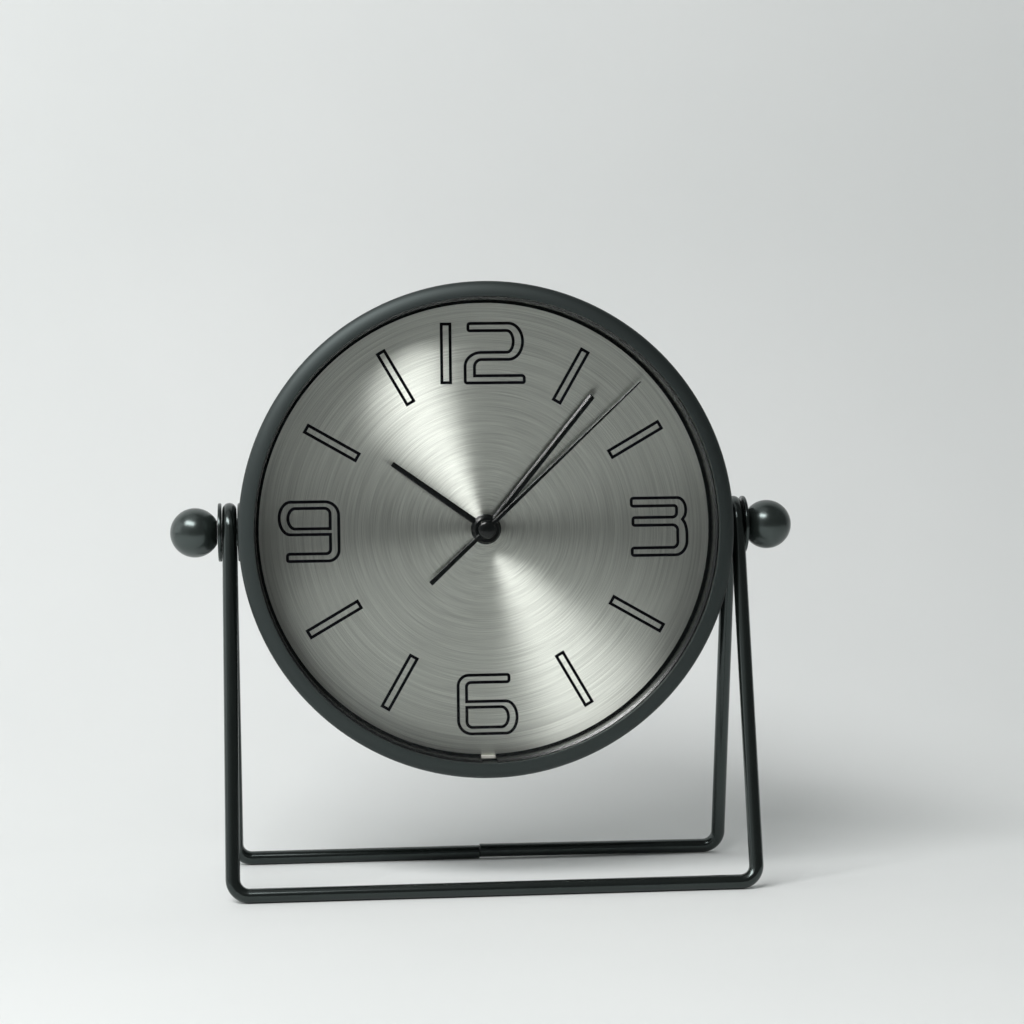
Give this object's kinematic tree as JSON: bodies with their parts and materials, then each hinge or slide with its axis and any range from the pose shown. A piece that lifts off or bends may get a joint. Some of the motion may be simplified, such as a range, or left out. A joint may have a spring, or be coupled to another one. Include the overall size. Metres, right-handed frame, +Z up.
{
  "type": "desk clock",
  "caption": "Round desk clock: a shallow drum with a brushed dial and thin hands, tilting between the hairpin ends of a bent wire stand and clamped by ball knobs; battery movement inside.",
  "frame": {"origin": "on the table, under the middle of the drum and midway between the two floor rails", "axes": "+X to the viewer's right along the tilt axis, +Y away from the viewer, +Z up"},
  "size_m": [0.178, 0.066, 0.1697],
  "materials": {
    "wire_black": "satin black coating on steel wire",
    "knob_gunmetal": "gloss gunmetal lacquer",
    "case_paint": "satin dark grey powder coat",
    "dial_steel": "circular brushed, with printed figures",
    "hand_black": "satin black",
    "clear_glass": "polished flat glass",
    "gasket_rubber": "matte",
    "black_plastic": "matte moulded",
    "white_plastic": "satin moulded acetal",
    "plain_steel": "satin plated",
    "train_brass": "satin",
    "copper_wire": "enamelled copper winding",
    "board_green": "satin resist",
    "ferrite": "matte sintered",
    "cell_jacket": "satin plain sleeve"
  },
  "bodies": {
    "stand": {"stand_wire": "wire_black"},
    "drum": {"case_shell": "case_paint", "bezel_ring": "case_paint", "glass_gasket": "gasket_rubber", "front_glass": "clear_glass", "spacer_ring": "case_paint", "dial": "dial_steel", "left_pivot_bush": "wire_black", "right_pivot_bush": "wire_black", "left_pivot_nut": "plain_steel", "right_pivot_nut": "plain_steel", "movement_housing": "black_plastic", "middle_plate": "white_plastic", "movement_lid": "black_plastic", "left_dial_stud": "plain_steel", "right_dial_stud": "plain_steel", "left_dial_nut": "train_brass", "right_dial_nut": "train_brass", "stator": "plain_steel", "coil_core": "plain_steel", "coil_bobbin": "white_plastic", "coil_winding": "copper_wire", "circuit_board": "board_green", "circuit_chip": "black_plastic", "quartz_crystal": "plain_steel", "battery_cell": "cell_jacket", "positive_contact": "plain_steel", "negative_contact": "plain_steel", "back_cover": "black_plastic", "cover_screw_1": "plain_steel", "cover_screw_2": "plain_steel", "cover_screw_3": "plain_steel", "cover_screw_4": "plain_steel"},
    "left_knob": {"left_ball_knob": "knob_gunmetal", "left_stud": "plain_steel", "left_washer": "wire_black"},
    "right_knob": {"right_ball_knob": "knob_gunmetal", "right_stud": "plain_steel", "right_washer": "wire_black"},
    "door": {"battery_door": "black_plastic"},
    "seconds": {"seconds_wheel": "train_brass", "second_hand": "hand_black", "second_cap": "hand_black"},
    "intermediate": {"intermediate_wheel": "white_plastic"},
    "rotor": {"rotor_pinion": "white_plastic", "rotor_magnet": "ferrite"},
    "third": {"third_wheel": "white_plastic"},
    "centre": {"centre_wheel": "train_brass"},
    "minutes": {"minute_tube": "train_brass", "minute_hand": "hand_black"},
    "setting": {"motion_wheel": "white_plastic", "set_knob": "black_plastic"},
    "hours": {"hour_wheel": "white_plastic", "hour_hand": "hand_black"}
  },
  "joints": [
    {"name": "drum_tilt", "type": "hinge", "parent": "stand", "child": "drum", "pos_m": [0, 0, 0.1], "axis": [1, 0, 0], "continuous": true},
    {"name": "left_knob_turn", "type": "hinge", "parent": "drum", "child": "left_knob", "pos_m": [-0.082, 0, 0.1], "axis": [-1, 0, 0], "range_deg": [0, 360]},
    {"name": "right_knob_turn", "type": "hinge", "parent": "drum", "child": "right_knob", "pos_m": [0.082, 0, 0.1], "axis": [1, 0, 0], "range_deg": [0, 360]},
    {"name": "battery_door_swing", "type": "hinge", "parent": "drum", "child": "door", "pos_m": [0, 0.0143, 0.0717], "axis": [-1, 0, 0], "range_deg": [0, 100]},
    {"name": "second_hand_turn", "type": "hinge", "parent": "drum", "child": "seconds", "pos_m": [0, 0, 0.1], "axis": [0, 1, 0], "continuous": true},
    {"name": "intermediate_turn", "type": "hinge", "parent": "drum", "child": "intermediate", "pos_m": [-0.0043, 0, 0.10745], "axis": [0, 1, 0], "continuous": true},
    {"name": "rotor_turn", "type": "hinge", "parent": "drum", "child": "rotor", "pos_m": [0.00359, 0, 0.11032], "axis": [0, 1, 0], "continuous": true},
    {"name": "third_turn", "type": "hinge", "parent": "drum", "child": "third", "pos_m": [0.00754, 0, 0.10528], "axis": [0, 1, 0], "continuous": true},
    {"name": "centre_turn", "type": "hinge", "parent": "drum", "child": "centre", "pos_m": [0, 0, 0.1], "axis": [0, 1, 0], "continuous": true},
    {"name": "minute_hand_turn", "type": "hinge", "parent": "drum", "child": "minutes", "pos_m": [0, 0, 0.1], "axis": [0, 1, 0], "continuous": true},
    {"name": "setting_knob_turn", "type": "hinge", "parent": "drum", "child": "setting", "pos_m": [-0.0096, 0, 0.1], "axis": [0, 1, 0], "continuous": true},
    {"name": "hour_hand_turn", "type": "hinge", "parent": "drum", "child": "hours", "pos_m": [0, 0, 0.1], "axis": [0, 1, 0], "continuous": true}
  ],
  "couplings": [
    {"joint": "intermediate_turn", "follows": "second_hand_turn", "ratio": -5},
    {"joint": "rotor_turn", "follows": "second_hand_turn", "ratio": 30},
    {"joint": "third_turn", "follows": "second_hand_turn", "ratio": -0.125},
    {"joint": "centre_turn", "follows": "second_hand_turn", "ratio": 0.016667},
    {"joint": "setting_knob_turn", "follows": "minute_hand_turn", "ratio": -0.25},
    {"joint": "hour_hand_turn", "follows": "minute_hand_turn", "ratio": 0.083333}
  ]
}
